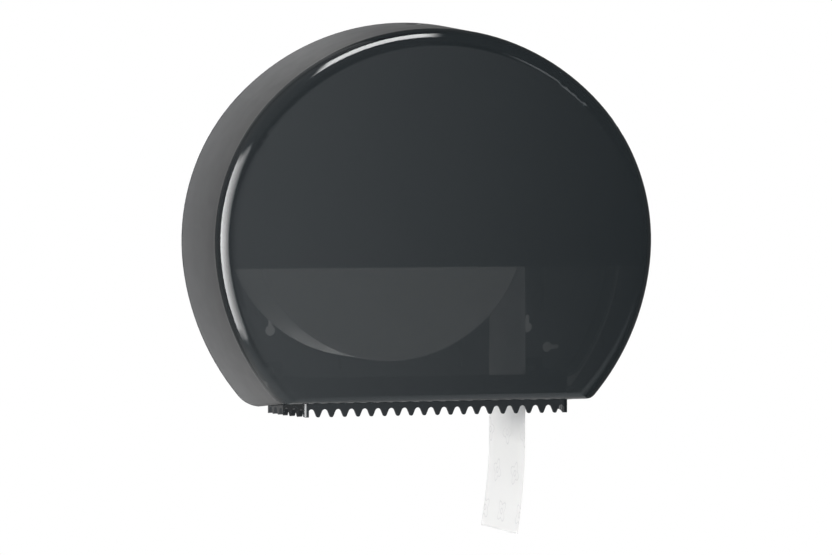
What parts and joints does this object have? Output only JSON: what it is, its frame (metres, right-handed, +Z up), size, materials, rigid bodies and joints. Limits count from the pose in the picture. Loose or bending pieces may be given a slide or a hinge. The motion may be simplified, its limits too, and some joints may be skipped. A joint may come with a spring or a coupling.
{
  "type": "jumbo toilet roll dispenser",
  "caption": "Wall-mounted jumbo toilet roll dispenser: domed smoked cover hinged at the bottom, serrated tear tray, main roll hub, leftover-roll hub, cam lock and hanging paper.",
  "frame": {"origin": "middle of the screw pattern on the back plate's rear face, which lies on the wall", "axes": "+Z up, +X to the right as seen from the front, +Y into the wall; the front faces -Y"},
  "size_m": [0.4366, 0.13, 0.4761],
  "materials": {
    "smoked_cover": "gloss",
    "liner_plastic": "matte",
    "frame_plastic": "satin",
    "tray_plastic": "satin",
    "hub_plastic": "satin",
    "zinc_steel": "satin",
    "spring_steel": "satin",
    "lock_metal": "polished",
    "pad_rubber": "matte",
    "core_board": "matte",
    "tissue": "matte"
  },
  "bodies": {
    "base": {"back_plate": "frame_plastic", "tear_tray": "tray_plastic", "tray_screws": "zinc_steel", "hinge_pins": "zinc_steel", "main_axle": "zinc_steel", "stub_axle": "zinc_steel", "axle_washers": "zinc_steel", "axle_screws": "zinc_steel", "brake_leaf": "spring_steel", "brake_pad": "pad_rubber", "brake_screw": "zinc_steel", "strike_hook": "spring_steel", "strike_screws": "zinc_steel"},
    "cover": {"cover_shell": "smoked_cover", "upper_liner": "liner_plastic", "lock_case": "liner_plastic"},
    "lock": {"lock_barrel": "lock_metal", "lock_cam": "spring_steel", "cam_screw": "zinc_steel"},
    "reel": {"core_hub": "hub_plastic", "roll_core": "core_board", "paper_roll": "tissue"},
    "stub": {"stub_hub": "hub_plastic"},
    "tail": {"paper_tail": "tissue"}
  },
  "joints": [
    {"name": "cover_hinge", "type": "hinge", "parent": "base", "child": "cover", "pos_m": [0, -0.015, -0.166], "axis": [1, 0, 0], "range_deg": [0, 85], "deforming": ["paper_tail"]},
    {"name": "lock_turn", "type": "hinge", "parent": "cover", "child": "lock", "pos_m": [0, -0.048, 0.17], "axis": [0, 0, -1], "range_deg": [0, 90]},
    {"name": "reel_spin", "type": "hinge", "parent": "base", "child": "reel", "pos_m": [-0.0466, -0.06, -0.0011], "axis": [0, 1, 0], "continuous": true},
    {"name": "stub_spin", "type": "hinge", "parent": "base", "child": "stub", "pos_m": [0.129, -0.06, 0.04], "axis": [0, 1, 0], "continuous": true},
    {"name": "tail_pull", "type": "slide", "parent": "base", "child": "tail", "axis": [0, 0, -1], "range_m": [0, 0.03]}
  ],
  "couplings": [
    {"joint": "reel_spin", "follows": "tail_pull", "rad_per_m": 7.6336}
  ]
}
